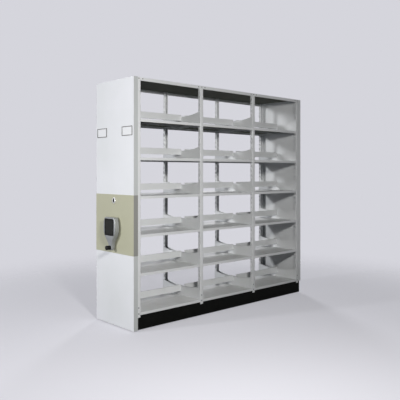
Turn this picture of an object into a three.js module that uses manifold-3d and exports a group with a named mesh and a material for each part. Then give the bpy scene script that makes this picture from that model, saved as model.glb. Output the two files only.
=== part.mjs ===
// Sliding double bookcase: a mobile shelving carriage with three double-sided bays.
// Millimetres, +Z up. X runs along the bays, Y from the near long side to the far one.
// The origin lies under the middle of the whole carriage, at the level of the wheel treads.
import * as THREE from 'three';
import { mergeVertices } from 'three/addons/utils/BufferGeometryUtils.js';
import Module from 'manifold-3d';

const wasm = await Module();
wasm.setup();

// Overall layout
const bays = 3;
const bayPitch = 755;
const frameDepth = 600;
const slotPitch = 70;
const slotsPerTier = 5;
const tiers = 5;
const headRoom = 400;
const floorClearance = 10;
const fit = 0.3;
const overrun = 2;
const grain = 0.001;

// Wheels and axles
const wheelRadius = 50;
const wheelSides = 14;
const treadWidth = 30;
const hubRadius = 26;
const hubLength = 46;
const shaftRadius = 12.5;
const axleInset = 130;
const wheelOffset = 48;

// Welded carriage frame
const beamHeight = 130;
const beamFlange = 45;
const beamWall = 3;
const crossWall = 5;
const crossDrop = 12;
const bearingHeight = 52;
const bearingWidth = 64;
const bearingDepth = 24;
const frameEndGap = 22;

// Uprights, pressed from slotted channel
const postWidth = 40;
const postDepth = 30;
const postWall = 2;
const postLap = 20;
const slotWidth = 8;
const slotHeight = 22;
const slotInset = 15;

// Shelves with their hanging end plates
const shelfWall = 1.2;
const lipHeight = 25;
const lipSetback = 1;
const backFlange = 15;
const middleGap = 10;
const plateWall = 1.5;
const plateRise = 88;
const earRise = 28;
const earLength = 220;
const tabRise = 60;
const tabHeight = 16;
const tabReach = 1.2;

// Centre stops
const stopWall = 1;
const stopHeight = 62;
const stopDepth = 12;
const stopRise = 44;

// Top panel
const topWall = 1.5;
const topLip = 30;

// End panels
const panelThickness = 45;
const panelWall = 1.5;
const panelOverhang = 15;
const farPanelThickness = 40;
const bearingRadius = 20;
const bearingLength = 12;

// Control panel, label holders
const controlBottom = 680;
const controlTop = 1225;
const labelWidth = 165;
const labelHeight = 85;
const labelBorder = 6;
const labelDepth = 3;
const labelLevel = 1806;
const labelSideShare = 0.335;

// Crank
const crankLevel = 923;
const crankShaftRadius = 10;
const crankGap = 10;
const armThickness = 46;
const armSocket = 28;
const armBevel = 5;
const armSteps = 5;
const headTop = 91;
const headTopWidth = 168;
const headWidth = 198;
const headCorner = 14;
const bulgeDrop = 10;
const tailRadius = 25;
const tailSetback = 10;
const crankRadius = 190;
const slopeStart = 90;
const slopeEnd = 160;
const coverWidth = 156;
const coverDepth = 4;
const coverCorner = 8;
const coverRecess = 5;
const pinRadius = 4;
const pinLength = 32;
const knobRadius = 21;
const knobWaist = 13;
const knobLength = 41;
const knobWall = 5;

// Lock
const lockLevel = 1169;
const escutcheonWidth = 50;
const escutcheonHeight = 66;
const escutcheonDepth = 6;
const barrelRadius = 10;
const barrelLength = 24;
const plugRadius = 6;
const wingWidth = 12;
const wingHeight = 36;
const wingDepth = 12;
const camWidth = 12;
const camLength = 34;
const camDepth = 3;

// Roller chain drive
const chainPitch = 12.7;
const crankTeeth = 8;
const axleTeeth = 16;
const toothRise = 3.4;
const sprocketWidth = 7;
const chainPlane = 20;
const chainSide = 6;
const chainSteps = 8;
const roundSides = 12;

// Levels and places that follow from the sizes above
const wheelTread = wheelRadius * Math.cos(Math.PI / wheelSides);
const frameTop = floorClearance + beamHeight;
const shelfPitch = slotPitch * slotsPerTier;
const shelfBase = frameTop + fit;
const topLevel = frameTop + tiers * shelfPitch + headRoom;
const postTop = topLevel - topWall - fit;
const firstPost = panelThickness + fit;
const lastPostEnd = firstPost + bays * bayPitch + postWidth;
const length = lastPostEnd + fit + farPanelThickness;
const shelfLength = bayPitch - postWidth - 2 * fit;
const panelDepth = frameDepth + 2 * panelOverhang;
const middle = frameDepth / 2;
const controlFace = -fit - panelWall;
const armBack = controlFace - crankGap;
const armFace = armBack - armThickness;
const tailFace = armFace + tailSetback;
const knobEnd = tailFace - fit - knobLength;
const axleNear = axleInset;
const axleFar = frameDepth - axleInset;

const colours = {
  enamel: 0xdfe1e3,
  khaki: 0xb0b09a,
  black: 0x141414,
  silver: 0xa2a5a6,
  steel: 0x8a8d90,
  chrome: 0xd8dadc,
  label: 0x4a4a46,
};

function finish(colour, roughness, metalness) {
  return new THREE.MeshStandardMaterial({ color: colour, roughness, metalness });
}

const materials = {
  enamel: finish(colours.enamel, 0.38, 0),
  khaki: finish(colours.khaki, 0.5, 0),
  black: finish(colours.black, 0.45, 0),
  silver: finish(colours.silver, 0.4, 0.3),
  steel: finish(colours.steel, 0.4, 1),
  chrome: finish(colours.chrome, 0.15, 1),
  label: finish(colours.label, 0.5, 0),
};

// Booleans on closed meshes. Places are rounded to the grain, so faces that are
// meant to lie in one plane do.
function toGrain(value) {
  return Math.round(value / grain) * grain;
}

function toSolid(geometry) {
  const bare = geometry.clone();
  bare.deleteAttribute('normal');
  bare.deleteAttribute('uv');
  const welded = mergeVertices(bare);
  const mesh = new wasm.Mesh({
    numProp: 3,
    vertProperties: Float32Array.from(welded.attributes.position.array, toGrain),
    triVerts: new Uint32Array(welded.index.array),
  });
  return new wasm.Manifold(mesh);
}

function toGeometry(solid) {
  const mesh = solid.asOriginal().simplify(grain).getMesh();
  const geometry = new THREE.BufferGeometry();
  geometry.setAttribute('position', new THREE.BufferAttribute(mesh.vertProperties, 3));
  geometry.setIndex(new THREE.BufferAttribute(mesh.triVerts, 1));
  geometry.computeVertexNormals();
  return geometry;
}

function join(geometries) {
  return geometries.map(toSolid).reduce((whole, piece) => whole.add(piece));
}

function cut(solid, geometries) {
  return geometries.map(toSolid).reduce((whole, piece) => whole.subtract(piece), solid);
}

// Prisms: a profile drawn in two of the axes and pushed along the third
function outline(points) {
  return new THREE.Shape(points.map(([a, b]) => new THREE.Vector2(a, b)));
}

function prismZ(shape, from, to, curveSegments = 3) {
  const geometry = new THREE.ExtrudeGeometry(shape, { depth: to - from, bevelEnabled: false, curveSegments });
  geometry.translate(0, 0, from);
  return geometry;
}

function turnToX(geometry) {
  const turn = new THREE.Matrix4().makeBasis(
    new THREE.Vector3(0, 1, 0), new THREE.Vector3(0, 0, 1), new THREE.Vector3(1, 0, 0));
  return geometry.applyMatrix4(turn);
}

// The shape's own axes are Y and Z, and the prism runs along X
function prismX(shape, from, to) {
  return turnToX(prismZ(shape, from, to));
}

// The shape's own axes are X and Z, and the prism runs along Y
function prismY(shape, from, to) {
  const turn = new THREE.Matrix4().makeBasis(
    new THREE.Vector3(1, 0, 0), new THREE.Vector3(0, 0, 1), new THREE.Vector3(0, -1, 0));
  return prismZ(shape, -to, -from).applyMatrix4(turn);
}

function block(low, high) {
  const size = high.map((value, axis) => value - low[axis]);
  const geometry = new THREE.BoxGeometry(...size);
  const centre = high.map((value, axis) => (value + low[axis]) / 2);
  geometry.translate(...centre);
  return geometry;
}

function rectangle(y0, z0, y1, z1) {
  return outline([[y0, z0], [y1, z0], [y1, z1], [y0, z1]]);
}

// A regular polygon whose flats touch the circle from outside, with a flat at the bottom
function polygonRound(radius, sides, y = 0, z = 0) {
  const corner = radius / Math.cos(Math.PI / sides);
  const points = [];
  for (let i = 0; i < sides; i += 1) {
    const angle = (2 * Math.PI * (i + 0.5)) / sides - Math.PI / 2;
    points.push([y + corner * Math.cos(angle), z + corner * Math.sin(angle)]);
  }
  return outline(points);
}

// A round rod along X, inside its circle
function rod(radius, from, to, y, z, sides = roundSides) {
  return prismX(polygonRound(radius * Math.cos(Math.PI / sides), sides, y, z), from, to);
}

// A hole for a rod of the same radius, with the fit all round
function bore(radius, from, to, y, z, sides = roundSides) {
  return prismX(polygonRound(radius + fit, sides, y, z), from, to);
}

function place(name, geometry, material, position = [0, 0, 0]) {
  const mesh = new THREE.Mesh(geometry, material);
  mesh.name = name;
  mesh.position.set(...position);
  return mesh;
}

// Uprights: a channel with its web outwards and slots down the side flanges.
// The web laps the beam below, and the flanges stand on the beam.
function uprightGeometry(slotsLeft, slotsRight) {
  const flanges = [
    { x: 0, slotted: slotsLeft },
    { x: postWidth - postWall, slotted: slotsRight },
  ];
  const web = block([0, 0, frameTop - postLap], [postWidth, postWall, postTop]);
  const sides = flanges.map(({ x, slotted }) => {
    const side = rectangle(0, frameTop + fit, postDepth, postTop);
    if (slotted) {
      side.holes.push(...slotLevels().map((z) => rectangle(
        slotInset - slotWidth / 2, z - slotHeight / 2, slotInset + slotWidth / 2, z + slotHeight / 2)));
    }
    return prismX(side, x, x + postWall);
  });
  return toGeometry(join([web, ...sides]));
}

function slotLevels() {
  const first = shelfBase + lipHeight + tabRise;
  const room = postTop - topLip - slotHeight - first;
  const count = Math.floor(room / slotPitch) + 1;
  return Array.from({ length: count }, (_, i) => first + i * slotPitch);
}

function uprights() {
  const group = new THREE.Group();
  const slottedBoth = uprightGeometry(true, true);
  const slottedLeft = uprightGeometry(true, false);
  const slottedRight = uprightGeometry(false, true);
  for (let i = 0; i <= bays; i += 1) {
    const x = firstPost + i * bayPitch;
    let near = slottedBoth;
    let far = slottedBoth;
    if (i === 0) [near, far] = [slottedRight, slottedLeft];
    if (i === bays) [near, far] = [slottedLeft, slottedRight];
    group.add(place(`upright_near_${i + 1}`, near, materials.enamel, [x, 0, 0]));
    const turned = place(`upright_far_${i + 1}`, far, materials.enamel, [x + postWidth, frameDepth, 0]);
    turned.rotation.z = Math.PI;
    group.add(turned);
  }
  return group;
}

// Shelves: two folded half trays back to back, welded to two hanging plates.
// Each plate's top edge dips in a hollow curve between its ears, and a tab
// at each end hooks into a slot of the upright.
function trayProfile(side) {
  const back = middle - middleGap / 2;
  const points = [
    [lipSetback, 0], [lipSetback, lipHeight], [back, lipHeight], [back, lipHeight - backFlange],
    [back - shelfWall, lipHeight - backFlange], [back - shelfWall, lipHeight - shelfWall],
    [lipSetback + shelfWall, lipHeight - shelfWall], [lipSetback + shelfWall, 0],
  ];
  return outline(points.map(([y, z]) => [side(y), z]));
}

function plateShape() {
  const low = lipHeight + plateRise;
  const high = low + earRise;
  const front = lipSetback;
  const back = frameDepth - lipSetback;
  const shape = new THREE.Shape();
  shape.moveTo(front, 0);
  shape.lineTo(back, 0);
  shape.lineTo(back, high);
  shape.lineTo(back - postDepth, high);
  shape.quadraticCurveTo(back - postDepth - earLength / 2, low, back - postDepth - earLength, low);
  shape.lineTo(front + postDepth + earLength, low);
  shape.quadraticCurveTo(front + postDepth + earLength / 2, low, front + postDepth, high);
  shape.lineTo(front, high);
  shape.closePath();
  return shape;
}

function shelfGeometry() {
  const near = (y) => y;
  const far = (y) => frameDepth - y;
  const tabHalf = slotWidth / 2 - fit;
  const tabLow = lipHeight + tabRise - tabHeight / 2;
  const pieces = [
    prismX(trayProfile(near), plateWall / 2, shelfLength - plateWall / 2),
    prismX(trayProfile(far), plateWall / 2, shelfLength - plateWall / 2),
    prismX(plateShape(), 0, plateWall),
    prismX(plateShape(), shelfLength - plateWall, shelfLength),
  ];
  const reach = fit + postWall + tabReach;
  for (const [x0, x1] of [[-reach, plateWall / 2], [shelfLength - plateWall / 2, shelfLength + reach]]) {
    for (const y of [slotInset, frameDepth - slotInset]) {
      pieces.push(block([x0, y - tabHalf, tabLow], [x1, y + tabHalf, tabLow + tabHeight]));
    }
  }
  return toGeometry(join(pieces));
}

// Centre stops: a shallow folded strip between the plates, above the middle gap
function stopGeometry() {
  const y0 = middle - stopDepth / 2;
  const y1 = middle + stopDepth / 2;
  const z0 = lipHeight + stopRise;
  const z1 = z0 + stopHeight;
  const profile = outline([
    [y0, z0], [y1, z0], [y1, z0 + stopWall], [y0 + stopWall, z0 + stopWall],
    [y0 + stopWall, z1 - stopWall], [y1, z1 - stopWall], [y1, z1], [y0, z1],
  ]);
  return prismX(profile, plateWall + fit, shelfLength - plateWall - fit);
}

function shelvesAndStops() {
  const group = new THREE.Group();
  const shelf = shelfGeometry();
  const stop = stopGeometry();
  for (let bay = 0; bay < bays; bay += 1) {
    const x = firstPost + bay * bayPitch + postWidth + fit;
    for (let level = 0; level <= tiers; level += 1) {
      const position = [x, 0, shelfBase + level * shelfPitch];
      const number = `${bay + 1}_${level + 1}`;
      group.add(place(`shelf_${number}`, shelf, materials.enamel, position));
      group.add(place(`centre_stop_${number}`, stop, materials.enamel, position));
    }
  }
  return group;
}

// Top panel: a sheet over the uprights with a lip down each long side
function topPanel() {
  const y0 = -fit - topWall;
  const y1 = frameDepth + fit + topWall;
  const low = topLevel - topLip;
  const profile = outline([
    [y0, low], [y0 + topWall, low], [y0 + topWall, topLevel - topWall], [y1 - topWall, topLevel - topWall],
    [y1 - topWall, low], [y1, low], [y1, topLevel], [y0, topLevel],
  ]);
  return place('top_panel', prismX(profile, panelThickness + fit, lastPostEnd), materials.enamel);
}

// Aisle end panel: a hollow sheet housing, open below, that covers the chain drive
function endPanel() {
  const y0 = -panelOverhang;
  const y1 = y0 + panelDepth;
  const shell = cut(toSolid(block([0, y0, floorClearance], [panelThickness, y1, topLevel])), [
    block([panelWall, y0 + panelWall, floorClearance - overrun],
      [panelThickness - panelWall, y1 - panelWall, topLevel - panelWall]),
    block([panelThickness / 2, y0 + panelWall, floorClearance - overrun],
      [panelThickness + overrun, y1 - panelWall, frameTop]),
  ]);
  const bearing = toSolid(rod(bearingRadius, panelWall / 2, panelWall + bearingLength, middle, crankLevel));
  const whole = cut(shell.add(bearing), [
    bore(crankShaftRadius, -overrun, panelWall + bearingLength + overrun, middle, crankLevel),
    bore(barrelRadius, -overrun, panelWall + overrun, middle, lockLevel),
  ]);
  return place('end_panel', toGeometry(whole), materials.enamel);
}

// Far end panel: a shallow pan that stands on the carriage frame
function farEndPanel() {
  const x0 = lastPostEnd + fit;
  const whole = cut(toSolid(block([x0, 0, frameTop + fit], [length, frameDepth, topLevel])), [
    block([x0 - overrun, panelWall, frameTop + fit + panelWall],
      [length - panelWall, frameDepth - panelWall, topLevel - panelWall]),
  ]);
  return place('far_end_panel', toGeometry(whole), materials.enamel);
}

// Control panel: the coloured cover that wraps the end panel at hand height
function controlPanel() {
  const x0 = controlFace;
  const y0 = -panelOverhang - fit - panelWall;
  const y1 = y0 + panelDepth + 2 * (fit + panelWall);
  const profile = outline([
    [x0, y0], [panelThickness, y0], [panelThickness, y0 + panelWall], [x0 + panelWall, y0 + panelWall],
    [x0 + panelWall, y1 - panelWall], [panelThickness, y1 - panelWall], [panelThickness, y1], [x0, y1],
  ]);
  const whole = cut(toSolid(prismZ(profile, controlBottom, controlTop)), [
    bore(crankShaftRadius, x0 - overrun, 0, middle, crankLevel),
    bore(barrelRadius, x0 - overrun, 0, middle, lockLevel),
  ]);
  return place('control_panel', toGeometry(whole), materials.khaki);
}

// Label holders: flat frames that a card slides into
function labelHolder(name, y) {
  const shape = rectangle(-labelWidth / 2, -labelHeight / 2, labelWidth / 2, labelHeight / 2);
  shape.holes.push(rectangle(
    labelBorder - labelWidth / 2, labelBorder - labelHeight / 2,
    labelWidth / 2 - labelBorder, labelHeight / 2 - labelBorder));
  return place(name, prismX(shape, -fit - labelDepth, -fit), materials.label, [0, y, labelLevel]);
}

// Lock: an oval escutcheon with its barrel through both panels
function oval(width, height, y, z) {
  const shape = new THREE.Shape();
  shape.absellipse(y, z, width / 2, height / 2, 0, 2 * Math.PI, false, 0);
  return shape;
}

function lockBody() {
  const x1 = controlFace - fit;
  const whole = cut(join([
    prismX(oval(escutcheonWidth, escutcheonHeight, middle, lockLevel), x1 - escutcheonDepth, x1),
    rod(barrelRadius, x1 - escutcheonDepth / 2, barrelLength, middle, lockLevel),
  ]), [
    bore(plugRadius, x1 - escutcheonDepth - overrun, barrelLength + overrun, middle, lockLevel),
  ]);
  return place('lock_body', toGeometry(whole), materials.chrome);
}

// Lock plug: a spindle with a thumb wing outside and a cam inside
function lockPlug() {
  const x1 = controlFace - fit - escutcheonDepth - fit;
  const cam = barrelLength + fit;
  const whole = join([
    rod(plugRadius, x1 - wingDepth / 2, cam + camDepth, middle, lockLevel),
    prismX(oval(wingWidth, wingHeight, middle, lockLevel), x1 - wingDepth, x1),
    block([cam, middle - camWidth / 2, lockLevel - camLength],
      [cam + camDepth, middle + camWidth / 2, lockLevel + plugRadius]),
  ]);
  return place('lock_plug', toGeometry(whole), materials.black);
}

// Sprockets: a toothed disc whose pitch circle follows from the chain
function pitchRadius(teeth) {
  return chainPitch / (2 * Math.sin(Math.PI / teeth));
}

function sprocket(teeth, y, z) {
  const root = pitchRadius(teeth) - toothRise;
  const tip = pitchRadius(teeth) + toothRise;
  const shares = [[-0.34, root], [-0.1, tip], [0.1, tip], [0.34, root]];
  const points = [];
  for (let i = 0; i < teeth; i += 1) {
    for (const [share, radius] of shares) {
      const angle = (2 * Math.PI * (i + share)) / teeth;
      points.push([y + radius * Math.cos(angle), z + radius * Math.sin(angle)]);
    }
  }
  return prismX(outline(points), chainPlane, chainPlane + sprocketWidth);
}

// Chain: a closed band round both sprockets, from just off the tooth tips
// to the outer edge of the side plates
function loopOutline(rise) {
  const outwards = 1 / Math.cos(Math.PI / (2 * chainSteps));
  const small = (pitchRadius(crankTeeth) + rise) * outwards;
  const large = (pitchRadius(axleTeeth) + rise) * outwards;
  const dy = axleNear - middle;
  const dz = wheelTread - crankLevel;
  const distance = Math.hypot(dy, dz);
  const heading = Math.atan2(dz, dy);
  const spread = Math.acos((small - large) / distance);
  const points = [];
  for (let i = 0; i <= chainSteps; i += 1) {
    const angle = heading + spread + ((2 * Math.PI - 2 * spread) * i) / chainSteps;
    points.push([middle + small * Math.cos(angle), crankLevel + small * Math.sin(angle)]);
  }
  for (let i = 0; i <= chainSteps; i += 1) {
    const angle = heading - spread + (2 * spread * i) / chainSteps;
    points.push([axleNear + large * Math.cos(angle), wheelTread + large * Math.sin(angle)]);
  }
  return outline(points);
}

function chain() {
  const shape = loopOutline(chainSide);
  shape.holes.push(loopOutline(toothRise + fit));
  return place('drive_chain', prismX(shape, chainPlane, chainPlane + sprocketWidth), materials.steel);
}

// Crank shaft: runs in the end panel's bearing, carries the small sprocket
function crankShaft() {
  const whole = join([
    rod(crankShaftRadius, armBack - armSocket + fit, chainPlane + 2 * sprocketWidth, middle, crankLevel),
    sprocket(crankTeeth, middle, crankLevel),
  ]);
  return place('crank_shaft', toGeometry(whole), materials.steel);
}

// Crank arm: a shield-shaped casting whose head bulges below its top corners and whose
// flanks draw in to a round tail. The front slopes back from the head to the tail.
const bulgeShares = [[0.7, 0.6], [1, 0.25]];
const flankShares = [[1, 0.47], [0.06, 0.58]];

// Half of the outline, drawn in by a margin, from the middle of the top to the foot of the tail
function armSide(margin) {
  const top = headTop - margin;
  const topHalf = headTopWidth / 2 - margin;
  const half = headWidth / 2 - margin;
  const tail = tailRadius - margin;
  const shoulder = top - headCorner;
  const bulge = bulgeShares.map(([out, up]) => [topHalf + (half - topHalf) * out, shoulder * up]);
  const flank = flankShares.map(([out, down]) => [tail + (half - tail) * out, -crankRadius * down]);
  const path = new THREE.Path();
  path.moveTo(0, top);
  path.lineTo(topHalf - headCorner, top);
  path.quadraticCurveTo(topHalf - headCorner / 2, top, topHalf, shoulder);
  path.bezierCurveTo(...bulge[0], ...bulge[1], half, -bulgeDrop);
  path.bezierCurveTo(...flank[0], ...flank[1], tail, -crankRadius);
  path.absarc(0, -crankRadius, tail, 0, -Math.PI / 2, true);
  return path.getPoints(armSteps);
}

function armOutline(margin) {
  const side = armSide(margin);
  const other = side.slice(1, -1).reverse().map((point) => new THREE.Vector2(-point.x, point.y));
  return new THREE.Shape([...side, ...other]);
}

function softSquare(width, corner) {
  const half = width / 2;
  const shape = new THREE.Shape();
  shape.moveTo(-half + corner, -half);
  shape.lineTo(half - corner, -half);
  shape.quadraticCurveTo(half, -half, half, -half + corner);
  shape.lineTo(half, half - corner);
  shape.quadraticCurveTo(half, half, half - corner, half);
  shape.lineTo(-half + corner, half);
  shape.quadraticCurveTo(-half, half, -half, half - corner);
  shape.lineTo(-half, -half + corner);
  shape.quadraticCurveTo(-half, -half, -half + corner, -half);
  return shape;
}

function crankArm() {
  const body = new THREE.ExtrudeGeometry(armOutline(armBevel), {
    depth: armThickness - 2 * armBevel,
    bevelThickness: armBevel,
    bevelSize: armBevel,
    bevelSegments: 1,
  });
  body.translate(0, 0, armFace + armBevel);
  const foot = -crankRadius - tailRadius - overrun;
  const slope = prismY(outline([
    [armFace - overrun, foot], [tailFace, foot], [tailFace, -slopeEnd],
    [armFace, -slopeStart], [armFace - overrun, -slopeStart],
  ]), -headWidth, headWidth);
  const pocket = prismX(softSquare(coverWidth + 2 * fit, coverCorner), armFace - overrun, armFace + coverRecess);
  const socket = bore(crankShaftRadius, armBack - armSocket, armBack + overrun, 0, 0);
  const pin = rod(pinRadius, tailFace - pinLength, armBack - armBevel, 0, -crankRadius);
  const whole = cut(toSolid(turnToX(body)), [slope, pocket, socket]).add(toSolid(pin));
  return place('crank_arm', toGeometry(whole), materials.silver, [0, middle, crankLevel]);
}

function crankCover() {
  const x1 = armFace + coverRecess - fit;
  const shape = softSquare(coverWidth, coverCorner);
  return place('crank_cover', prismX(shape, x1 - coverDepth, x1), materials.black, [0, middle, crankLevel]);
}

// Crank knob: a waisted grip that turns on the arm's pin
function crankKnob() {
  const boreRadius = (pinRadius + fit) / Math.cos(Math.PI / wheelSides);
  const boreDepth = knobLength - knobWall;
  const waistShares = [[0.36, 1], [0.42, 0], [0.52, 0], [0.6, 1]];
  const profile = [
    [boreRadius, 0], [knobRadius, 0],
    ...waistShares.map(([share, full]) => [full ? knobRadius : knobWaist, knobLength * share]),
    [knobRadius, knobLength - knobWall / 2], [knobRadius - knobWall / 2, knobLength], [0, knobLength],
    [0, boreDepth], [boreRadius, boreDepth], [boreRadius, 0],
  ];
  const geometry = new THREE.LatheGeometry(
    profile.map(([r, along]) => new THREE.Vector2(r, along)), wheelSides);
  geometry.rotateZ(Math.PI / 2);
  const position = [tailFace - fit, middle, crankLevel - crankRadius];
  return place('crank_knob', toGeometry(toSolid(geometry)), materials.black, position);
}

// Wheels and axles
function wheelPlaces() {
  const first = firstPost + postWidth + wheelOffset;
  const last = lastPostEnd - postWidth - wheelOffset;
  return [first, (first + last) / 2, last];
}

function axleGeometry(from, to, extra) {
  const profile = [[0, from], [shaftRadius, from]];
  for (const x of wheelPlaces()) {
    profile.push([shaftRadius, x - hubLength / 2], [hubRadius, x - hubLength / 2]);
    profile.push([wheelRadius, x - treadWidth / 2], [wheelRadius, x + treadWidth / 2]);
    profile.push([hubRadius, x + hubLength / 2], [shaftRadius, x + hubLength / 2]);
  }
  profile.push([shaftRadius, to], [0, to]);
  const geometry = new THREE.LatheGeometry(
    profile.map(([r, along]) => new THREE.Vector2(r, along)), wheelSides);
  geometry.rotateZ(-Math.PI / 2);
  geometry.rotateX(Math.PI / wheelSides);
  return toGeometry(join([geometry, ...extra]));
}

function axles() {
  const group = new THREE.Group();
  const near = firstPost + crossWall;
  const end = lastPostEnd - crossWall;
  const drive = axleGeometry(chainPlane - sprocketWidth, end, [sprocket(axleTeeth, 0, 0)]);
  group.add(place('drive_axle', drive, materials.steel, [0, axleNear, wheelTread]));
  group.add(place('idle_axle', axleGeometry(near, end, []), materials.steel, [0, axleFar, wheelTread]));
  return group;
}

// Carriage frame: two channel beams and four cross plates with bearing blocks
function beamProfile(side) {
  const top = frameTop;
  const low = floorClearance;
  const y0 = postWall + fit;
  const y1 = y0 + beamFlange;
  const points = [
    [y0, low], [y1, low], [y1, low + beamWall], [y0 + beamWall, low + beamWall],
    [y0 + beamWall, top - beamWall], [y1, top - beamWall], [y1, top], [y0, top],
  ];
  return outline(points.map(([y, z]) => [side(y), z]));
}

function carriageFrame() {
  const x0 = panelThickness + fit;
  const x1 = length - frameEndGap;
  const beams = [
    prismX(beamProfile((y) => y), x0, x1),
    prismX(beamProfile((y) => frameDepth - y), x0, x1),
  ];
  const inner = postWall + fit + beamWall / 2;
  const crosses = [];
  const bores = [];
  for (let i = 0; i <= bays; i += 1) {
    const centre = firstPost + i * bayPitch + postWidth / 2;
    const shape = rectangle(inner, floorClearance + crossDrop, frameDepth - inner, frameTop);
    crosses.push(prismX(shape, centre - crossWall / 2, centre + crossWall / 2));
    for (const y of [axleNear, axleFar]) {
      crosses.push(block(
        [centre - bearingDepth / 2, y - bearingWidth / 2, wheelTread - bearingHeight / 2],
        [centre + bearingDepth / 2, y + bearingWidth / 2, wheelTread + bearingHeight / 2]));
      bores.push(bore(shaftRadius, centre - bearingDepth, centre + bearingDepth, y, wheelTread));
    }
  }
  return place('carriage_frame', toGeometry(cut(join([...beams, ...crosses]), bores)), materials.black);
}

const carriage = new THREE.Group();
carriage.add(
  uprights(), shelvesAndStops(), topPanel(), endPanel(), farEndPanel(), controlPanel(),
  labelHolder('label_holder_near', middle - labelSideShare * panelDepth),
  labelHolder('label_holder_far', middle + labelSideShare * panelDepth),
  lockBody(), lockPlug(), chain(), crankShaft(), crankArm(), crankCover(), crankKnob(),
  axles(), carriageFrame(),
);
carriage.position.set(-(length + knobEnd) / 2, -middle, 0);

const whole = new THREE.Group();
whole.add(carriage);

export default whole;
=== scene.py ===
"""Sliding double bookcase: a mobile shelving carriage with three double-sided bays, dressed
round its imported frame. Metres, +X along the bays, +Y across the depth, +Z up."""

import math

import bpy
import numpy as np
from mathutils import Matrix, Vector


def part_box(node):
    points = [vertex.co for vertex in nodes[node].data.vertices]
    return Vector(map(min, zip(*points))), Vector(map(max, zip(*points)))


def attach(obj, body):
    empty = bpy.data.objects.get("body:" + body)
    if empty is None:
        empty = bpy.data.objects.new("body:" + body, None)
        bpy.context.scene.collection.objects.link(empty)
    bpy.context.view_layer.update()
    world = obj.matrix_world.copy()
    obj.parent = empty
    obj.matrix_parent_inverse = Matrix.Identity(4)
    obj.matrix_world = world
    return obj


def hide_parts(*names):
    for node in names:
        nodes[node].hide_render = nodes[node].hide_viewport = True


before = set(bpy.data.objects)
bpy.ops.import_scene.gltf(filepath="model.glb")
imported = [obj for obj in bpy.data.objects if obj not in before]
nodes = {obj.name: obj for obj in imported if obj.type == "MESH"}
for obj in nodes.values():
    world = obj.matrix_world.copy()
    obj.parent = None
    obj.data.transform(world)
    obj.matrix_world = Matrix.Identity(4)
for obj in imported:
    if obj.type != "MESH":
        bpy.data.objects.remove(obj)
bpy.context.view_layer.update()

# Viewpoint: a level camera out in the aisle, left of the bays and at chest height, with its
# picture shifted a little so that the bays stand where the photo has them.
camera_place = (-3.9637, -4.4125, 1.4330)
camera_turn = 0.765
focal_px = 550.5
centre_px = (224.5, 172.05)
frame_px = 400.0
sensor_mm = 36.0

view = bpy.data.cameras.new("aisle_view")
view.sensor_width = sensor_mm
view.lens = focal_px / frame_px * sensor_mm
view.shift_x = (frame_px / 2 - centre_px[0]) / frame_px
view.shift_y = (centre_px[1] - frame_px / 2) / frame_px
view.clip_end = 100
camera = bpy.data.objects.new("aisle_view", view)
camera.location = camera_place
camera.rotation_euler = (math.pi / 2, 0, -camera_turn)
bpy.context.scene.collection.objects.link(camera)
bpy.context.scene.camera = camera
bpy.context.scene.view_settings.view_transform = "Standard"

# Lamps: a soft one before the bays, one far up the aisle whose light slips past the end panel
# into the bays, a weak one before the end panel, and one high behind for the top and the rear.
# The surround looks pale, and gives a low even light that fills the rest.
warm_white_hex = "#fffdfa"
cool_white_hex = "#fdfdff"
surround_hex = "#d5d5dc"
fill_hex = "#eef0f6"
fill_strength = 0.055


def linear_colour(code):
    """Linear RGBA of an sRGB hex colour, by the sRGB curve taken channel by channel."""
    srgb = np.array([int(code[i:i + 2], 16) for i in (1, 3, 5)]) / 255
    linear = np.where(srgb <= 0.04045, srgb / 12.92, ((srgb + 0.055) / 1.055) ** 2.4)
    return (*linear.tolist(), 1.0)


def add_node(tree, kind, settings=None, links=None):
    """Adds a node. Settings are properties or the values of input sockets, by name or number,
    and links say which output feeds which input socket."""
    node = tree.nodes.new(kind)
    for key, value in (settings or {}).items():
        if isinstance(key, str) and key in node.bl_rna.properties:
            setattr(node, key, value)
        else:
            node.inputs[key].default_value = value
    for key, source in (links or {}).items():
        tree.links.new(source, node.inputs[key])
    return node


def soft_lamp(name, place, target, width, watts, colour_hex):
    """A round soft lamp at a place, turned so that its light, which leaves along its own -Z,
    goes towards the target."""
    light = bpy.data.lights.new(name, "AREA")
    light.shape = "DISK"
    light.size = width
    light.energy = watts
    light.color = linear_colour(colour_hex)[:3]
    lamp = bpy.data.objects.new(name, light)
    lamp.location = place
    lamp.rotation_euler = (Vector(target) - Vector(place)).to_track_quat("-Z", "Y").to_euler()
    bpy.context.scene.collection.objects.link(lamp)


soft_lamp("front_lamp", (-2.3, -3.4, 2.28), (-0.9, 0.0, -0.8), 0.4, 124, warm_white_hex)
soft_lamp("aisle_lamp", (-9.3, 2.6, 3.2), (-1.1, 0.1, 1.1), 0.9, 470, cool_white_hex)
soft_lamp("end_lamp", (-5.0, -0.2, 1.0), (-1.2, 0.0, 0.9), 0.6, 20, cool_white_hex)
soft_lamp("back_lamp", (3.6, 4.0, 5.2), (0.2, 0.0, 1.4), 1.0, 170, cool_white_hex)

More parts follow.
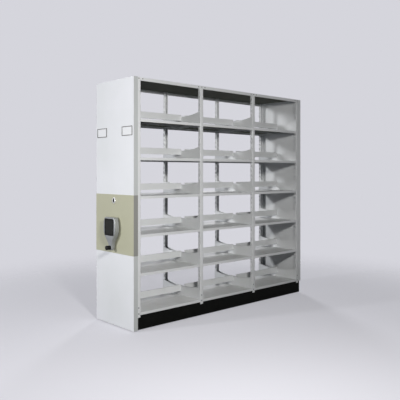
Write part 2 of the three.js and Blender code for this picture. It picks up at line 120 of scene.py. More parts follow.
world = bpy.data.worlds.new("surround")
bpy.context.scene.world = world
world.use_nodes = True
sky = world.node_tree
sky.nodes.clear()
ray = add_node(sky, "ShaderNodeLightPath")
seen = add_node(sky, "ShaderNodeMath", {"operation": "ADD"},
                {0: ray.outputs["Is Camera Ray"], 1: ray.outputs["Is Glossy Ray"]})
seen = add_node(sky, "ShaderNodeMath", {"operation": "ADD", "use_clamp": True},
                {0: seen.outputs[0], 1: ray.outputs["Is Transmission Ray"]})
fill = add_node(sky, "ShaderNodeBackground",
                {"Color": linear_colour(fill_hex), "Strength": fill_strength})
backdrop = add_node(sky, "ShaderNodeBackground", {"Color": linear_colour(surround_hex)})
blend = add_node(sky, "ShaderNodeMixShader", None,
                 {0: seen.outputs[0], 1: fill.outputs[0], 2: backdrop.outputs[0]})
add_node(sky, "ShaderNodeOutputWorld", None, {"Surface": blend.outputs[0]})

# Floor: pale paper that fades into the surround some metres out. Only the camera sees it pale.
# To the lamps it is a darker grey, so that it throws little light on the undersides.
floor_reach = 14.0
floor_steps = 96
fade_from, fade_to = 1.5, 4.6
paper_seen_hex = "#dcdce3"
paper_lit_hex = "#6c6c72"
paper_glow_share = 0.5

bpy.ops.mesh.primitive_circle_add(vertices=floor_steps, radius=floor_reach, fill_type="NGON")
floor = bpy.context.object
floor.name = "studio_floor"
paper = bpy.data.materials.new("pale_floor_paper")
paper.use_nodes = True
tree = paper.node_tree
tree.nodes.clear()
coords = add_node(tree, "ShaderNodeTexCoord")
ray = add_node(tree, "ShaderNodeLightPath")
tone = add_node(tree, "ShaderNodeMix",
                {"data_type": "RGBA", 6: linear_colour(paper_lit_hex), 7: linear_colour(paper_seen_hex)},
                {0: ray.outputs["Is Camera Ray"]})
matt = add_node(tree, "ShaderNodeBsdfDiffuse", None, {"Color": tone.outputs[2]})
even = add_node(tree, "ShaderNodeEmission", {"Color": linear_colour(surround_hex)})
share = add_node(tree, "ShaderNodeMath", {"operation": "MULTIPLY", 1: paper_glow_share},
                 {0: ray.outputs["Is Camera Ray"]})
lit = add_node(tree, "ShaderNodeMixShader", None,
               {0: share.outputs[0], 1: matt.outputs[0], 2: even.outputs[0]})
clear = add_node(tree, "ShaderNodeBsdfTransparent")
away = add_node(tree, "ShaderNodeVectorMath", {"operation": "LENGTH"}, {0: coords.outputs["Object"]})
fade = add_node(tree, "ShaderNodeMapRange",
                {"interpolation_type": "SMOOTHERSTEP", "From Min": fade_from, "From Max": fade_to},
                {"Value": away.outputs["Value"]})
faded = add_node(tree, "ShaderNodeMixShader", None,
                 {0: fade.outputs[0], 1: lit.outputs[0], 2: clear.outputs[0]})
add_node(tree, "ShaderNodeOutputMaterial", None, {"Surface": faded.outputs[0]})
floor.data.materials.append(paper)

# Carriage frame: two pressed channel beams and four cross plates of 3 and 5 mm steel, welded
# and brushed over with satin black paint, with the bearing blocks of both axles on them.
fold_radius = 0.0004
fold_segments = 2
fold_degrees = 50


def dress(name, material):
    """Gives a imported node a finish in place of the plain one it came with, and takes the keenness
    off its edges."""
    piece = nodes[name]
    piece.data.materials.clear()
    piece.data.materials.append(material)
    edge = piece.modifiers.new("softened_edges", "BEVEL")
    edge.width = fold_radius
    edge.segments = fold_segments
    edge.limit_method = "ANGLE"
    edge.angle_limit = math.radians(fold_degrees)


def new_material(name):
    """An empty material with its coordinates node and its surface shader."""
    material = bpy.data.materials.new(name)
    material.use_nodes = True
    tree = material.node_tree
    tree.nodes.clear()
    coords = add_node(tree, "ShaderNodeTexCoord")
    shader = add_node(tree, "ShaderNodeBsdfPrincipled")
    add_node(tree, "ShaderNodeOutputMaterial", None, {"Surface": shader.outputs["BSDF"]})
    return material, tree, coords, shader


def mottle(tree, coords, wavelength_mm, detail=3.0, stretch=(1, 1, 1)):
    """Noise on the piece's own coordinates whose blotches are one wavelength wide."""
    place = add_node(tree, "ShaderNodeMapping", {"Scale": stretch},
                     {"Vector": coords.outputs["Object"]})
    return add_node(tree, "ShaderNodeTexNoise", {"Scale": 1000 / wavelength_mm, "Detail": detail},
                    {"Vector": place.outputs[0]}).outputs["Fac"]


def spread(tree, value, low, high, start=0.3, end=0.7):
    """Carries noise from start to end over to the range from low to high, in a straight line."""
    return add_node(tree, "ShaderNodeMapRange",
                    {"From Min": start, "From Max": end, "To Min": low, "To Max": high},
                    {"Value": value}).outputs["Result"]


def tint(tree, share, first, second):
    """Mixes two colours, or two sockets that carry them, by a share."""
    mix = add_node(tree, "ShaderNodeMix", {"data_type": "RGBA"}, {0: share})
    for number, colour in ((6, first), (7, second)):
        if isinstance(colour, str):
            mix.inputs[number].default_value = linear_colour(colour)
        else:
            tree.links.new(colour, mix.inputs[number])
    return mix.outputs[2]


def relief(tree, shader, height, depth_mm, strength):
    """Bumps the surface by a height from 0 to 1, where 1 stands depth_mm proud, and lets a share
    of the bump show."""
    bump = add_node(tree, "ShaderNodeBump", {"Distance": depth_mm / 1000, "Strength": strength},
                    {"Height": height})
    tree.links.new(bump.outputs[0], shader.inputs["Normal"])


def black_paint():
    """Satin black paint brushed on welded steel: near black, with faint long brush marks and
    thin patches of grey dust."""
    material, tree, coords, shader = new_material("satin_black_paint")
    marks = mottle(tree, coords, 9, 4.0, (0.12, 1, 1))
    dust = mottle(tree, coords, 60, 6.0)
    body = tint(tree, spread(tree, marks, 0, 1), "#050604", "#0b0c0a")
    dusty = spread(tree, dust, 0, 0.03, start=0.45, end=0.8)
    tree.links.new(tint(tree, dusty, body, "#6d6b64"), shader.inputs["Base Color"])
    tree.links.new(spread(tree, dust, 0.6, 0.75), shader.inputs["Roughness"])
    shader.inputs["Specular IOR Level"].default_value = 0.1
    relief(tree, shader, marks, 0.05, 0.5)
    return material


dress("carriage_frame", black_paint())

# Axles: three turned steel wheels with dished sides on each shaft, which runs in the frame's
# bearing blocks. The drive axle ends in the large sprocket of the chain.
post_count = sum(name.startswith("upright_near_") for name in nodes)
wheel_count = 3
wheel_steps = 64
wheel_offset = 0.048
shaft_radius = 0.0125
hub_half, hub_radius = 0.023, 0.026
web_half = 0.005
rim_half, rim_wall = 0.015, 0.007
turned_edge = 0.0015
chain_pitch = 0.0127
axle_teeth = 16
tooth_rise = 0.0034
tooth_steepness = 1.6
tooth_steps = 12
smooth_degrees = 35


def shown_mesh(name, points, faces):
    """An object in the scene from points and faces, smooth but for its sharp edges."""
    mesh = bpy.data.meshes.new(name)
    mesh.from_pydata(points.tolist(), [], faces)
    mesh.polygons.foreach_set("use_smooth", np.ones(len(mesh.polygons), dtype=bool))
    mesh.set_sharp_from_angle(angle=math.radians(smooth_degrees))
    piece = bpy.data.objects.new(name, mesh)
    bpy.context.scene.collection.objects.link(piece)
    return piece


def surface_of_rings(name, rings):
    """Joins each ring of points to the next by a band of quads and closes the first and the
    last ring. Rings turn anticlockwise seen from the last ring's side, so faces point out."""
    count, steps = rings.shape[:2]
    ring, step = np.meshgrid(np.arange(count - 1), np.arange(steps), indexing="ij")
    after = (step + 1) % steps
    quads = np.stack([ring * steps + step, ring * steps + after,
                      (ring + 1) * steps + after, (ring + 1) * steps + step], axis=-1)
    first = np.arange(steps)[::-1]
    last = (count - 1) * steps + np.arange(steps)
    faces = quads.reshape(-1, 4).tolist() + [first.tolist(), last.tolist()]
    return shown_mesh(name, rings.reshape(-1, 3), faces)


def together(name, pieces):
    """Joins pieces into the first one and names it."""
    with bpy.context.temp_override(active_object=pieces[0], selected_editable_objects=pieces):
        bpy.ops.object.join()
    pieces[0].name = name
    pieces[0].data.name = name
    return pieces[0]


def turned(profile, steps, centre, heading):
    """Rings of a turned piece: each (along, radius) of the profile is carried round the axis that
    leaves the centre along the heading h, where s and t are square to it and to each other, by
    place = centre + along * h + radius * (cos a * s + sin a * t)."""
    h = np.array(heading, float)
    s = np.array([0.0, 0.0, 1.0]) if abs(h[2]) < 0.5 else np.array([1.0, 0.0, 0.0])
    t = np.cross(h, s)
    angle = np.arange(steps) * 2 * math.pi / steps
    spokes = np.cos(angle)[:, None] * s + np.sin(angle)[:, None] * t
    along, radius = np.array(profile, float).T
    return np.array(centre) + along[:, None, None] * h + radius[:, None, None] * spokes


def wheel_profile(middle, radius):
    """(along, radius) pairs of one wheel on its shaft: hub, web and rim, then the same mirrored."""
    inner = radius - rim_wall
    half = np.array([
        (-hub_half, shaft_radius), (-hub_half, hub_radius - turned_edge),
        (turned_edge - hub_half, hub_radius), (-web_half, hub_radius + turned_edge),
        (-web_half, inner - turned_edge), (-rim_half, inner),
        (-rim_half, radius - turned_edge), (turned_edge - rim_half, radius)])
    return np.vstack([half, half[::-1] * (-1, 1)]) + (middle, 0)


def toothed_rings(teeth, centre, span):
    """A sprocket's rings at both X of a span: r = pitch radius + rise * w, where the wave w is
    steepness * cos(teeth * a), cut off at 1 and -1, so that tips and roots are round stretches."""
    a = np.arange(teeth * tooth_steps) * 2 * math.pi / (teeth * tooth_steps)
    wave = np.clip(tooth_steepness * np.cos(teeth * a), -1, 1)
    r = chain_pitch / (2 * math.sin(math.pi / teeth)) + tooth_rise * wave
    flat = [centre[0] + r * np.cos(a), centre[1] + r * np.sin(a)]
    return np.array([np.column_stack([np.full(len(a), x), *flat]) for x in span])


def zinc_plate():
    """Zinc-plated steel: blue-grey, softly glossy, with a slight stain."""
    material, tree, coords, shader = new_material("zinc_plated_steel")
    stain = mottle(tree, coords, 5)
    tree.links.new(tint(tree, stain, "#8b9095", "#6f7377"), shader.inputs["Base Color"])
    tree.links.new(spread(tree, stain, 0.28, 0.45), shader.inputs["Roughness"])
    shader.inputs["Metallic"].default_value = 1.0
    return material


zinc = zinc_plate()
wheels_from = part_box("upright_near_1")[1].x + wheel_offset
wheels_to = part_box(f"upright_near_{post_count}")[0].x - wheel_offset
chain_low, chain_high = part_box("drive_chain")
for name, body in (("drive_axle", "drive_wheels"), ("idle_axle", "idle_wheels")):
    low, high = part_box(name)
    centre = ((low.y + high.y) / 2, (low.z + high.z) / 2)
    wheels = [wheel_profile(x, centre[1] - low.z)
              for x in np.linspace(wheels_from, wheels_to, wheel_count)]
    profile = np.vstack([
        [(low.x, shaft_radius - turned_edge), (low.x + turned_edge, shaft_radius)], *wheels,
        [(high.x - turned_edge, shaft_radius), (high.x, shaft_radius - turned_edge)]])
    parts = [surface_of_rings("axle", turned(profile, wheel_steps, (0, *centre), (1, 0, 0)))]
    if name == "drive_axle":
        teeth = toothed_rings(axle_teeth, centre, (chain_low.x, chain_high.x))
        parts.append(surface_of_rings("sprocket", teeth))
    axle = together(f"turned_{name}", parts)
    axle.data.materials.append(zinc)
    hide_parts(name)
    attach(axle, body)

# Uprights: channels folded from 2 mm sheet steel with their lips turned in, then stove enamelled
# light grey. The flanges that face a bay are punched every 50 mm, so that every seventh slot
# carries a shelf. The web laps the frame below, and the flanges stand on it.
sheet_face_hex = "#dcdee0"
sheet_shade_hex = "#d2d5d6"
dust_hex = "#c9c8c3"
post_wall = 0.002
post_lip = 0.0145
bend_radius = 0.003
bend_steps = 4
slot_pitch = 0.050
slot_width = 0.011
slot_height = 0.024
slot_inset = 0.015
hook_rise = 0.085
slot_top_room = 0.045
seat_gap = 0.0003


def stove_enamel(name, face_hex, shade_hex, underside_shade_hex=None, side_shade_hex=None):
    """Stove enamel on sheet steel: smooth and semi-gloss, with an orange peel 3 mm wide, a slow
    change of tone and thin dust on faces that look up. Faces that look down may get a painted
    shade, darker and duller, and those that look along Y a painted shade of another grey."""
    material, tree, coords, shader = new_material(name)
    facing = add_node(tree, "ShaderNodeSeparateXYZ", None, {0: coords.outputs["Normal"]})
    slow = mottle(tree, coords, 420, 4.0)
    wiped = mottle(tree, coords, 90, 5.0, (1, 1, 0.35))
    colour = tint(tree, spread(tree, slow, 0, 1), face_hex, shade_hex)
    dusty = add_node(tree, "ShaderNodeMapRange", {"From Min": 0.8, "From Max": 0.95},
                     {"Value": facing.outputs["Z"]})
    dusty = add_node(tree, "ShaderNodeMath", {"operation": "MULTIPLY"},
                     {0: dusty.outputs[0], 1: spread(tree, wiped, 0.1, 0.35)})
    colour = tint(tree, dusty.outputs[0], colour, dust_hex)
    # Painted shade: faces that look along Y are coloured a darker grey
    if side_shade_hex:
        sideways = add_node(tree, "ShaderNodeMath", {"operation": "ABSOLUTE"},
                            {0: facing.outputs["Y"]})
        sideways = add_node(tree, "ShaderNodeMath", {"operation": "GREATER_THAN", 1: 0.8},
                            {0: sideways.outputs[0]})
        colour = tint(tree, sideways.outputs[0], colour, side_shade_hex)
    sheen = spread(tree, wiped, 0.34, 0.46)
    # Painted shade: faces that look down are coloured darker and made duller
    if underside_shade_hex:
        downward = add_node(tree, "ShaderNodeMath", {"operation": "LESS_THAN", 1: -0.8},
                            {0: facing.outputs["Z"]})
        colour = tint(tree, downward.outputs[0], colour, underside_shade_hex)
        tree.links.new(spread(tree, downward.outputs[0], 0.5, 0.1, start=0, end=1),
                       shader.inputs["Specular IOR Level"])
        duller = add_node(tree, "ShaderNodeMath", {"operation": "MULTIPLY", 1: 0.45},
                          {0: downward.outputs[0]})
        sheen = add_node(tree, "ShaderNodeMath", {"operation": "ADD"},
                         {0: duller.outputs[0], 1: sheen}).outputs[0]
    tree.links.new(colour, shader.inputs["Base Color"])
    tree.links.new(sheen, shader.inputs["Roughness"])
    relief(tree, shader, mottle(tree, coords, 3, 2.0), 0.03, 0.35)
    return material


def folded_sheet(name, path, wall, levels, solid, origin, heading):
    """Sheet folded along an open path of (x, y) points and run up through levels. Each point is
    carried inwards by wall * (n1 + n2) / (1 + n1 . n2), where n1 and n2 are the normals of the
    stretches beside it, so the wall stays even round bends. solid[i, j] says whether the cell
    after point i and level j stands. A point's place is origin + heading * (x, y, level), and a
    heading of (-1, -1, 1) turns the sheet half round."""
    along = np.diff(path, axis=0)
    along /= np.linalg.norm(along, axis=1)[:, None]
    normal = np.stack([-along[:, 1], along[:, 0]], axis=1)
    before, after = np.vstack([normal[:1], normal]), np.vstack([normal, normal[-1:]])
    inward = wall * (before + after) / (1 + (before * after).sum(axis=1))[:, None]
    flat = np.repeat(np.stack([path + inward, path])[:, :, None], len(levels), axis=2)
    height = np.broadcast_to(np.array(levels)[:, None], (*flat.shape[:3], 1))
    points = origin + heading * np.concatenate([flat, height], axis=-1).reshape(-1, 3)

    def quads_between(*corners):
        """Quads whose corners are (point, level, layer), where layer 0 is the inside."""
        return np.stack([(layer * len(path) + i) * len(levels) + j for i, j, layer in corners],
                        axis=-1)

    i, j = np.nonzero(solid)
    quads = [quads_between((i, j, 1), (i + 1, j, 1), (i + 1, j + 1, 1), (i, j + 1, 1)),
             quads_between((i, j, 0), (i, j + 1, 0), (i + 1, j + 1, 0), (i + 1, j, 0))]
    stands = np.pad(solid, 1)
    # A cell's edge is closed across the wall, between two of its corners, where the cell on that
    # side doesn't stand
    for (di, dj), (a, b), (c, d) in (((-1, 0), (0, 0), (0, 1)), ((1, 0), (1, 1), (1, 0)),
                                     ((0, -1), (1, 0), (0, 0)), ((0, 1), (0, 1), (1, 1))):
        edge = ~stands[i + 1 + di, j + 1 + dj]
        p, q = i[edge], j[edge]
        quads.append(quads_between((p + a, q + b, 0), (p + a, q + b, 1),
                                   (p + c, q + d, 1), (p + c, q + d, 0)))
    # Points that no cell uses are left out
    used, index = np.unique(np.concatenate(quads), return_inverse=True)
    return shown_mesh(name, points[used], index.reshape(-1, 4).tolist())


upright_enamel = stove_enamel("stove_enamel_uprights", sheet_face_hex, sheet_shade_hex)
frame_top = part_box("carriage_frame")[1].z
first_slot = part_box("shelf_1_1")[0].z + hook_rise
for side in ("near", "far"):
    for number in range(1, post_count + 1):
        node = f"upright_{side}_{number}"
        low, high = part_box(node)
        width, depth = high.x - low.x, high.y - low.y
        angle = np.linspace(math.pi, 1.5 * math.pi, bend_steps + 1)
        bend = bend_radius + bend_radius * np.stack([np.cos(angle), np.sin(angle)], axis=1)
        lip = np.vstack([[post_lip, 0], bend[::-1]]) * (1, -1) + (0, depth)
        slot_sides = [[0, slot_inset + slot_width / 2], [0, slot_inset - slot_width / 2]]
        half = np.vstack([lip, slot_sides, bend])
        path = np.vstack([half, (half * (-1, 1) + (width, 0))[::-1]])
        slots = np.arange(first_slot, high.z - slot_top_room, slot_pitch)
        edges = np.stack([slots - slot_height / 2, slots + slot_height / 2], axis=1).ravel()
        levels = [low.z, frame_top + seat_gap, *edges, high.z]
        # Below the frame's top only the web stands, which joins the two halves of the path
        solid = np.ones((len(path) - 1, len(levels) - 1), dtype=bool)
        solid[:, 0] = False
        solid[len(half) - 1, 0] = True
        # The slots are the cells between the slot sides at every other level, in the flanges
        # that face a bay
        turned_round = side == "far"
        faces_before, faces_after = number > 1, number < post_count
        if turned_round:
            faces_before, faces_after = faces_after, faces_before
        if faces_before:
            solid[len(lip), 2::2] = False
        if faces_after:
            solid[-1 - len(lip), 2::2] = False
        origin = np.array([high.x, high.y, 0.0]) if turned_round else np.array([low.x, low.y, 0.0])
        heading = np.array([-1.0, -1.0, 1.0]) if turned_round else np.ones(3)
        post = folded_sheet(f"punched_{node}", path, post_wall, levels, solid, origin, heading)
        post.data.materials.append(upright_enamel)
        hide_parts(node)
        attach(post, "carriage")

# Foot fixings: pan-head screws of zinc-plated steel, two in the foot of each upright, that hold
# its web to the frame.
foot_screw_radius = 0.0065
foot_screw_height = 0.0016
foot_screw_levels = (0.154, 0.208)
screw_steps = 20
dome_from, dome_to = 0.15, math.pi / 2 - 0.12
dome_steps = 6


def domed_head(radius, height):
    """(along, radius) pairs of a pan head: the foot of its rim, then the quarter ellipse
    (height * sin a, radius * cos a) up to a small flat crown."""
    angle = np.linspace(dome_from, dome_to, dome_steps)
    dome = np.stack([height * np.sin(angle), radius * np.cos(angle)], axis=1)
    return np.vstack([[0.0, radius], dome])


screws = []
for side, heading in (("near", -1.0), ("far", 1.0)):
    for number in range(1, post_count + 1):
        low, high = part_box(f"upright_{side}_{number}")
        face = low.y if side == "near" else high.y
        for level in foot_screw_levels:
            head = turned(domed_head(foot_screw_radius, foot_screw_height), screw_steps,
                          ((low.x + high.x) / 2, face, level), (0, heading, 0))
            screws.append(surface_of_rings("screw", head))
foot_screws = together("foot_screws", screws)
foot_screws.data.materials.append(zinc)
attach(foot_screws, "carriage")

# Shelves and centre stops: 1 to 1.5 mm sheet steel, folded and stove enamelled light grey, with
# painted shade on the undersides, which are coloured darker and made duller. The shelves hang by
# tabs in the slots of the uprights.
sheet_underside_shade_hex = "#5c5e56"

shelf_enamel = stove_enamel("stove_enamel_shelves", sheet_face_hex, sheet_shade_hex, sheet_underside_shade_hex)
for name in nodes:
    if name.startswith(("shelf", "centre_stop")):
        dress(name, shelf_enamel)

# Top panel: one sheet over all bays with its lips folded down, enamelled like the shelves. Three
# small blackened screws at each upright hold the lip, where it reaches that far.
lip_screw_radius = 0.0055
lip_screw_height = 0.0022
lip_screw_spacing = 0.042
lip_screw_drop = 0.012


def dark_steel():
    """Chemically blackened pressed steel, worn a little lighter in places."""
    material, tree, coords, shader = new_material("blackened_pressed_steel")
    worn = mottle(tree, coords, 7)
    tree.links.new(tint(tree, worn, "#42423e", "#5a5a55"), shader.inputs["Base Color"])
    tree.links.new(spread(tree, worn, 0.4, 0.55), shader.inputs["Roughness"])
    return material


dress("top_panel", shelf_enamel)
blackened = dark_steel()
top_low, top_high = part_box("top_panel")
lip_screws = []
for face, heading in ((top_low.y, -1.0), (top_high.y, 1.0)):
    for number in range(1, post_count + 1):
        low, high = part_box(f"upright_near_{number}")
        middle = (low.x + high.x) / 2
        for x in (middle - lip_screw_spacing, middle, middle + lip_screw_spacing):
            if top_low.x + lip_screw_radius < x < top_high.x - lip_screw_radius:
                head = turned(domed_head(lip_screw_radius, lip_screw_height), screw_steps,
                              (x, face, top_high.z - lip_screw_drop), (0, heading, 0))
                lip_screws.append(surface_of_rings("screw", head))
top_screws = together("lip_screws", lip_screws)
top_screws.data.materials.append(blackened)
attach(top_screws, "carriage")

# End panels: hollow housings folded from 1.5 mm sheet steel and stove enamelled light grey. On the
# one in the aisle, the long sides that look along Y are coloured a darker grey as painted shade.
end_face_hex = "#e2e4e8"
end_shade_hex = "#dbdee0"
# Painted shade on the long sides that look along Y
end_side_shade_hex = "#b9bdbd"

dress("end_panel", stove_enamel("stove_enamel_end_panel", end_face_hex, end_shade_hex,
                                side_shade_hex=end_side_shade_hex))
dress("far_end_panel", upright_enamel)

# Control panel: a cover of 1.5 mm sheet steel, stove enamelled khaki, that wraps the end panel
# at hand height. The crank's shaft and the lock pass through it.
khaki_face_hex = "#b2b29b"
khaki_shade_hex = "#acac94"
# Painted shade: the cover's sides that look along Y are coloured a darker grey
khaki_side_shade_hex = "#8a8b87"

dress("control_panel", stove_enamel("stove_enamel_khaki", khaki_face_hex, khaki_shade_hex,
                                    side_shade_hex=khaki_side_shade_hex))

# Label holders: frames pressed from dark steel, near and far on the end panel, each with a blank
# white card in it.
card_margin = 0.004
card_depth = 0.0005


def white_card():
    """Uncoated white card: matt, with a faint fibre grain, which is drawn coarse enough to show."""
    material, tree, coords, shader = new_material("white_card")
    fibre = mottle(tree, coords, 1.2, 5.0)
    tree.links.new(tint(tree, spread(tree, fibre, 0, 1), "#e6e8ea", "#dddfe2"),
                   shader.inputs["Base Color"])
    shader.inputs["Roughness"].default_value = 0.85
    relief(tree, shader, fibre, 0.05, 0.4)
    return material


card_paper = white_card()
for side in ("near", "far"):
    holder = f"label_holder_{side}"
    dress(holder, blackened)
    low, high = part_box(holder)
    x = np.array([high.x - card_depth, high.x])[:, None]
    y = np.array([low.y + card_margin, high.y - card_margin])[[0, 1, 1, 0]]
    z = np.array([low.z + card_margin, high.z - card_margin])[[0, 0, 1, 1]]
    card = surface_of_rings(f"label_card_{side}", np.stack(np.broadcast_arrays(x, y, z), axis=-1))
    card.data.materials.append(card_paper)
    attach(card, "carriage")

# Chain and crank shaft: a half-inch roller chain inside the end panel, and the short shaft with
# the small sprocket that drives it, both of zinc-plated steel.
dress("drive_chain", zinc)
dress("crank_shaft", zinc)

# Crank: a die casting lacquered silver grey, whose head bulges below its top corners and whose
# flanks draw in to a round tail. The face slopes back towards the tail, and its rim is rounded.
arm_thickness = 0.046
arm_top_half = 0.084
arm_corner = 0.014
arm_bulge_drop = 0.010
arm_tail_radius = 0.025
arm_tail_setback = 0.010
arm_slope = (0.085, 0.165)
arm_back_round = 0.003
arm_face_round = 0.006
pocket_half = 0.0785
pocket_depth = 0.005
pocket_squareness = 22
face_shares = (0.2, 0.4, 0.6, 0.8, 0.97, 1.0)
top_steps, corner_steps, bulge_steps, flank_steps, tail_steps = 8, 8, 14, 22, 10
arm_bulge = ((0.7, 0.6), (1.0, 0.25))
arm_flank = ((1.0, 0.47), (0.06, 0.58))

arm_low, arm_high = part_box("crank_arm")
shaft_low, shaft_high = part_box("crank_shaft")
pivot = (shaft_low + shaft_high) / 2
arm_half = (arm_high.y - arm_low.y) / 2
arm_top = arm_high.z - pivot.z
crank_radius = pivot.z - arm_low.z - arm_tail_radius
arm_back = arm_high.x


def bezier(controls, count):
    """Points along a Bezier curve by de Casteljau: neighbours are mixed by t until one is left."""
    t = np.linspace(0, 1, count)[:, None]
    rows = [np.broadcast_to(np.array(point, float), (count, 2)) for point in controls]
    while len(rows) > 1:
        rows = [a + (b - a) * t for a, b in zip(rows, rows[1:])]
    return rows[0]


def arm_outline(margin):
    """The arm's (y, z) outline about the pivot, drawn in by a margin: the top edge, a corner, the
    bulge, the flank and a quarter of the tail's circle, then the same mirrored."""
    top, top_half = arm_top - margin, arm_top_half - margin
    half, tail = arm_half - margin, arm_tail_radius - margin
    shoulder = top - arm_corner
    bulge = [(top_half + (half - top_half) * out, shoulder * up) for out, up in arm_bulge]
    flank = [(tail + (half - tail) * out, -crank_radius * down) for out, down in arm_flank]
    angle = np.linspace(0, -math.pi / 2, tail_steps)
    top_end = (top_half - arm_corner, top)
    side = np.vstack([
        bezier([(0, top), top_end], top_steps)[:-1],
        bezier([top_end, (top_half - arm_corner / 2, top), (top_half, shoulder)], corner_steps)[:-1],
        bezier([(top_half, shoulder), *bulge, (half, -arm_bulge_drop)], bulge_steps)[:-1],
        bezier([(half, -arm_bulge_drop), *flank, (tail, -crank_radius)], flank_steps)[:-1],
        np.stack([tail * np.cos(angle), -crank_radius + tail * np.sin(angle)], axis=1)])
    return np.vstack([side, side[-2:0:-1] * (-1, 1)])


def soft_square(outline, half, squareness):
    """The square r = half / (|cos a|^n + |sin a|^n)^(1/n) at the angles of an outline's points."""
    unit = outline / np.linalg.norm(outline, axis=1)[:, None]
    return unit * half / (np.abs(unit) ** squareness).sum(axis=1)[:, None] ** (1 / squareness)


def crank_ring(flat, depth):
    """Sets (y, z) points about the pivot at a depth off the arm's back. The depth falls towards
    the tail by the smooth step share * share * (3 - 2 * share), and so the face slopes back."""
    share = np.clip((-flat[:, 1] - arm_slope[0]) / (arm_slope[1] - arm_slope[0]), 0, 1)
    share = share * share * (3 - 2 * share)
    x = arm_back - depth * (1 - share * arm_tail_setback / arm_thickness)
    return np.column_stack([x, pivot.y + flat[:, 0], pivot.z + flat[:, 1]])


quarter_turn = np.linspace(0, math.pi / 2, 6)
rings = [crank_ring(arm_outline(arm_back_round * (1 - math.sin(a))),
                    arm_back_round * (1 - math.cos(a))) for a in quarter_turn]
rings += [crank_ring(arm_outline(arm_face_round * (1 - math.cos(a))),
                     arm_thickness - arm_face_round * (1 - math.sin(a))) for a in quarter_turn]
face_edge = arm_outline(arm_face_round)
pocket_edge = soft_square(face_edge, pocket_half, pocket_squareness)
rings += [crank_ring(face_edge + (pocket_edge - face_edge) * share, arm_thickness)
          for share in face_shares]
rings.append(crank_ring(pocket_edge, arm_thickness - pocket_depth))
crank_arm = surface_of_rings("cast_crank_arm", np.array(rings))


def silver_paint():
    """Silver-grey lacquer on a die casting: metallic flakes too fine to see, with a light cast
    texture under them."""
    material, tree, coords, shader = new_material("silver_lacquered_casting")
    cast = mottle(tree, coords, 4, 4.0)
    tree.links.new(tint(tree, cast, "#999c9d", "#8b8e8f"), shader.inputs["Base Color"])
    tree.links.new(spread(tree, cast, 0.3, 0.42), shader.inputs["Roughness"])
    shader.inputs["Metallic"].default_value = 0.25
    relief(tree, shader, cast, 0.08, 0.4)
    return material


crank_arm.data.materials.append(silver_paint())
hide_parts("crank_arm")
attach(crank_arm, "crank")

# Crank cover: a square plate moulded in black plastic and pressed into the pocket in the arm's
# face, with a groove all round inside its rim.
cover_rim = 0.0025
groove_width = 0.013
groove_depth = 0.0025
cover_round = 0.0012
cover_steps = 96
# The middle of a rounded edge lies about 0.3 of its radius from both faces
round_middle = 0.3


def black_plastic(name, first_hex, second_hex, groove=None):
    """Moulded ABS with a fine sparked grain, drawn coarse enough to show. Where a groove is given
    by the X of its mouth and of its floor, painted shade darkens the colour to near black on the floor."""
    material, tree, coords, shader = new_material(name)
    grain = mottle(tree, coords, 1.5, 2.0)
    colour = tint(tree, grain, first_hex, second_hex)
    if groove:
        # Painted shade: the colour darkens to near black towards the groove's floor
        place = add_node(tree, "ShaderNodeSeparateXYZ", None, {0: coords.outputs["Object"]})
        colour = tint(tree, spread(tree, place.outputs["X"], 0, 1, *groove), colour, "#050504")
    tree.links.new(colour, shader.inputs["Base Color"])
    tree.links.new(spread(tree, grain, 0.45, 0.6), shader.inputs["Roughness"])
    shader.inputs["Specular IOR Level"].default_value = 0.18
    relief(tree, shader, grain, 0.06, 0.4)
    return material


cover_low, cover_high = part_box("crank_cover")
cover_half = (cover_high.y - cover_low.y) / 2
full_turn = np.linspace(0, 2 * math.pi, cover_steps, endpoint=False)
round_way = np.stack([np.sin(full_turn), np.cos(full_turn)], axis=1)
groove_edge = cover_rim + groove_width
groove_floor = cover_low.x + groove_depth
cover_profile = [
    (cover_high.x, 0), (cover_low.x + cover_round, 0),
    (cover_low.x + cover_round * round_middle, cover_round * round_middle),
    (cover_low.x, cover_round), (cover_low.x, cover_rim), (groove_floor, cover_rim + cover_round),
    (groove_floor, groove_edge - cover_round), (cover_low.x + cover_round, groove_edge),
    (cover_low.x, groove_edge + cover_round)]
rings = []
for x, margin in cover_profile:
    flat = soft_square(round_way, cover_half - margin, pocket_squareness)
    rings.append(np.column_stack([np.full(len(flat), x), pivot.y + flat[:, 0], pivot.z + flat[:, 1]]))
cover = surface_of_rings("moulded_crank_cover", np.array(rings))
# The groove's floor gets a painted shade of near black
cover.data.materials.append(black_plastic("moulded_grey_abs", "#171815", "#121310",
                                          (cover_low.x, groove_floor)))
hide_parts("crank_cover")
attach(cover, "crank")

# Crank knob: a waisted grip moulded in black plastic, which spins on the pin in the arm's tail.
# Its profile is in shares of its length and of its radius.
knob_steps = 48
knob_low, knob_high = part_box("crank_knob")
knob_centre = (knob_high.x, (knob_low.y + knob_high.y) / 2, (knob_low.z + knob_high.z) / 2)
grip_length = knob_high.x - knob_low.x
grip_radius = (knob_high.y - knob_low.y) / 2
grip_shares = ((0, 0.9), (0.02, 1), (0.33, 1), (0.37, 0.93), (0.42, 0.66), (0.47, 0.62),
               (0.52, 0.66), (0.57, 0.93), (0.61, 1), (0.9, 1), (0.96, 0.94), (1, 0.78))
moulding = black_plastic("moulded_black_abs", "#0a0a09", "#141412")
grip = surface_of_rings("moulded_crank_knob", turned(
    [(along * grip_length, radius * grip_radius) for along, radius in grip_shares],
    knob_steps, knob_centre, (-1, 0, 0)))
grip.data.materials.append(moulding)
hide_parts("crank_knob")
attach(grip, "knob")

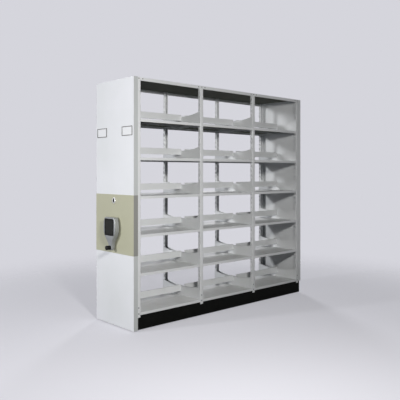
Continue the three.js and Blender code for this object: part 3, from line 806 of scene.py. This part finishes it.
# Lock: an oval escutcheon of polished nickel plate with its barrel through both panels, and a
# thumb turn moulded in black plastic on an oval rose, whose spindle carries a cam inside.
escutcheon_depth = 0.006
escutcheon_round = 0.0025
rose_depth = 0.0015
wing_half = (0.0045, 0.016)
wing_rise = 0.005
rose_half = (0.0115, 0.020)
barrel_radius = 0.010
barrel_steps = 48
plug_radius = 0.0057
cam_half = (0.006, 0.018)
cam_depth = 0.003
lock_low, lock_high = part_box("lock_body")
lock_centre = ((lock_low.y + lock_high.y) / 2, (lock_low.z + lock_high.z) / 2)


def bright_plate():
    """Bright nickel plate, polished, with a very slight haze."""
    material, tree, coords, shader = new_material("bright_nickel_plate")
    haze = mottle(tree, coords, 12)
    tree.links.new(tint(tree, haze, "#f2f2f0", "#e6e7e8"), shader.inputs["Base Color"])
    tree.links.new(spread(tree, haze, 0.3, 0.4), shader.inputs["Roughness"])
    shader.inputs["Metallic"].default_value = 1.0
    return material


def oval_rings(half, profile, drop=0.0):
    """Rings of the ellipse (half width * sin a, half height * cos a) about a point at a drop below
    the lock's middle: each (x, margin) of the profile draws it in by the margin."""
    return np.array([np.column_stack([np.full(len(full_turn), x),
                                      lock_centre[0] + (half[0] - margin) * np.sin(full_turn),
                                      lock_centre[1] - drop + (half[1] - margin) * np.cos(full_turn)])
                     for x, margin in profile])


def rounded_front(back, front, radius):
    """(x, margin) pairs from a back edge along -X to a front edge rounded off by the radius, at
    (front + radius * (1 - sin a), radius * (1 - cos a))."""
    return [(back, 0)] + [(front + radius * (1 - math.sin(a)), radius * (1 - math.cos(a)))
                          for a in quarter_turn]


escutcheon_back = lock_low.x + escutcheon_depth
oval_half = ((lock_high.y - lock_low.y) / 2, (lock_high.z - lock_low.z) / 2)
escutcheon = surface_of_rings("escutcheon", oval_rings(
    oval_half, rounded_front(escutcheon_back, lock_low.x, escutcheon_round)))
barrel = surface_of_rings("barrel", turned(
    [(0, barrel_radius), (lock_high.x - escutcheon_back, barrel_radius)],
    barrel_steps, (lock_high.x, *lock_centre), (-1, 0, 0)))
lock_body = together("nickel_lock_body", [escutcheon, barrel])
lock_body.data.materials.append(bright_plate())
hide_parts("lock_body")
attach(lock_body, "carriage")

cam_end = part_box("lock_plug")[1].x
rose_front = lock_low.x - rose_depth
wing_front = rose_front - wing_rise
turn_parts = [
    surface_of_rings("rose", oval_rings(
        rose_half, rounded_front(lock_low.x, rose_front, rose_depth / 2))),
    surface_of_rings("wing", oval_rings(
        wing_half, rounded_front(rose_front, wing_front, wing_rise / 2))),
    surface_of_rings("spindle", turned(
        [(0, plug_radius), (cam_end - lock_low.x, plug_radius)],
        barrel_steps, (cam_end, *lock_centre), (-1, 0, 0))),
    surface_of_rings("cam", oval_rings(
        cam_half, [(cam_end, 0), (cam_end - cam_depth, 0)], cam_half[1] - cam_half[0]))]
thumb_turn = together("moulded_thumb_turn", turn_parts)
thumb_turn.data.materials.append(moulding)
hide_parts("lock_plug")
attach(thumb_turn, "lock")
